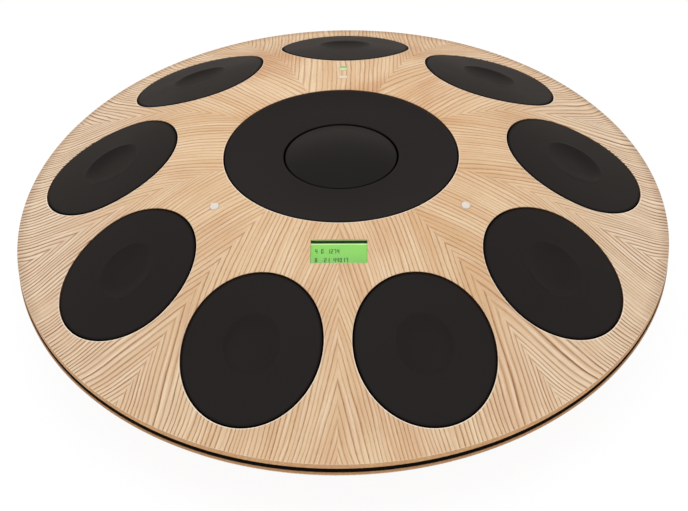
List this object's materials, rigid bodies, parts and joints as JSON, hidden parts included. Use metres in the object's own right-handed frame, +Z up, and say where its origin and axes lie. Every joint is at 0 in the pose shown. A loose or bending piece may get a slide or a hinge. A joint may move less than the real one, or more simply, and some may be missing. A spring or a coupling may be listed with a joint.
{
  "type": "digital handpan",
  "caption": "Lens-shaped electronic handpan: ash veneer shells, dimpled oval touch pads round a domed centre pad, small lit display, push buttons, rear sockets and rubber feet.",
  "frame": {"origin": "centre of the bounding box at the bottom of the feet", "axes": "+Z up, -Y towards the player (the display side), +X to the player's right"},
  "size_m": [0.48, 0.48, 0.1356],
  "materials": {
    "ash_wood": "satin lacquered ash veneer on moulded ply",
    "pad_silicone": "matt",
    "black_plastic": "matt moulded",
    "tray_plastic": "moulded",
    "sensor_film": "film",
    "clear_window": "polished",
    "display_panel": "backlit green",
    "white_plastic": "satin",
    "green_plastic": "translucent, lit",
    "circuit_board": "solder mask",
    "battery_cells": "shrink film",
    "speaker_body": "coated",
    "socket_metal": "plated",
    "foot_rubber": "matt",
    "screw_steel": "plain"
  },
  "bodies": {
    "tone_pad_1": {"tone_pad_1": "pad_silicone"},
    "tone_pad_2": {"tone_pad_2": "pad_silicone"},
    "tone_pad_3": {"tone_pad_3": "pad_silicone"},
    "tone_pad_4": {"tone_pad_4": "pad_silicone"},
    "tone_pad_5": {"tone_pad_5": "pad_silicone"},
    "tone_pad_6": {"tone_pad_6": "pad_silicone"},
    "tone_pad_7": {"tone_pad_7": "pad_silicone"},
    "tone_pad_8": {"tone_pad_8": "pad_silicone"},
    "tone_pad_9": {"tone_pad_9": "pad_silicone"},
    "ding_pad": {"ding_pad": "pad_silicone"},
    "ding_dome": {"ding_dome": "pad_silicone"},
    "left_button": {"left_button": "white_plastic"},
    "right_button": {"right_button": "white_plastic"},
    "power_button": {"power_button": "green_plastic"},
    "case": {"top_shell": "ash_wood", "bottom_shell": "ash_wood", "rim_hoop": "black_plastic", "sensor_tray": "tray_plastic", "tone_sensor_1": "sensor_film", "tone_sensor_2": "sensor_film", "tone_sensor_3": "sensor_film", "tone_sensor_4": "sensor_film", "tone_sensor_5": "sensor_film", "tone_sensor_6": "sensor_film", "tone_sensor_7": "sensor_film", "tone_sensor_8": "sensor_film", "tone_sensor_9": "sensor_film", "ding_sensor": "sensor_film", "dome_sensor": "sensor_film", "display_window": "clear_window", "display_module": "display_panel", "left_switch": "circuit_board", "right_switch": "circuit_board", "charge_light": "white_plastic", "rear_switch": "circuit_board", "main_board": "circuit_board", "battery_pack": "battery_cells", "speaker_driver": "speaker_body", "speaker_grille": "black_plastic", "socket_bay": "black_plastic", "charge_socket": "socket_metal", "headphone_socket": "black_plastic", "foot_1": "foot_rubber", "foot_2": "foot_rubber", "foot_3": "foot_rubber", "foot_4": "foot_rubber", "case_screw_1": "screw_steel", "case_screw_2": "screw_steel", "case_screw_3": "screw_steel", "case_screw_4": "screw_steel", "case_screw_5": "screw_steel", "case_screw_6": "screw_steel", "case_screw_7": "screw_steel", "case_screw_8": "screw_steel", "case_screw_9": "screw_steel"}
  },
  "joints": [
    {"name": "tone_pad_1_press", "type": "slide", "parent": "case", "child": "tone_pad_1", "axis": [0, -0.4567, -0.8896], "range_m": [0, 0.001], "stiffness_N_per_m": 2500, "springref_m": -0.0006},
    {"name": "tone_pad_2_press", "type": "slide", "parent": "case", "child": "tone_pad_2", "axis": [-0.2935, -0.3498, -0.8896], "range_m": [0, 0.001], "stiffness_N_per_m": 2500, "springref_m": -0.0006},
    {"name": "tone_pad_3_press", "type": "slide", "parent": "case", "child": "tone_pad_3", "axis": [-0.4497, -0.0793, -0.8896], "range_m": [0, 0.001], "stiffness_N_per_m": 2500, "springref_m": -0.0006},
    {"name": "tone_pad_4_press", "type": "slide", "parent": "case", "child": "tone_pad_4", "axis": [-0.3955, 0.2283, -0.8896], "range_m": [0, 0.001], "stiffness_N_per_m": 2500, "springref_m": -0.0006},
    {"name": "tone_pad_5_press", "type": "slide", "parent": "case", "child": "tone_pad_5", "axis": [-0.1562, 0.4291, -0.8896], "range_m": [0, 0.001], "stiffness_N_per_m": 2500, "springref_m": -0.0006},
    {"name": "tone_pad_6_press", "type": "slide", "parent": "case", "child": "tone_pad_6", "axis": [0.1562, 0.4291, -0.8896], "range_m": [0, 0.001], "stiffness_N_per_m": 2500, "springref_m": -0.0006},
    {"name": "tone_pad_7_press", "type": "slide", "parent": "case", "child": "tone_pad_7", "axis": [0.3955, 0.2283, -0.8896], "range_m": [0, 0.001], "stiffness_N_per_m": 2500, "springref_m": -0.0006},
    {"name": "tone_pad_8_press", "type": "slide", "parent": "case", "child": "tone_pad_8", "axis": [0.4497, -0.0793, -0.8896], "range_m": [0, 0.001], "stiffness_N_per_m": 2500, "springref_m": -0.0006},
    {"name": "tone_pad_9_press", "type": "slide", "parent": "case", "child": "tone_pad_9", "axis": [0.2935, -0.3498, -0.8896], "range_m": [0, 0.001], "stiffness_N_per_m": 2500, "springref_m": -0.0006},
    {"name": "ding_pad_press", "type": "slide", "parent": "case", "child": "ding_pad", "axis": [0, 0, -1], "range_m": [0, 0.001], "stiffness_N_per_m": 5000, "springref_m": -0.0008},
    {"name": "ding_dome_press", "type": "slide", "parent": "case", "child": "ding_dome", "axis": [0, 0, -1], "range_m": [0, 0.001], "stiffness_N_per_m": 2500, "springref_m": -0.0006},
    {"name": "left_button_press", "type": "slide", "parent": "case", "child": "left_button", "axis": [0.1957, 0.113, -0.9741], "range_m": [0, 0.0006], "stiffness_N_per_m": 300, "springref_m": -0.0004},
    {"name": "right_button_press", "type": "slide", "parent": "case", "child": "right_button", "axis": [-0.1957, 0.113, -0.9741], "range_m": [0, 0.0006], "stiffness_N_per_m": 300, "springref_m": -0.0004},
    {"name": "power_button_press", "type": "slide", "parent": "case", "child": "power_button", "axis": [0, -0.2172, -0.9761], "range_m": [0, 0.0006], "stiffness_N_per_m": 300, "springref_m": -0.0004}
  ]
}
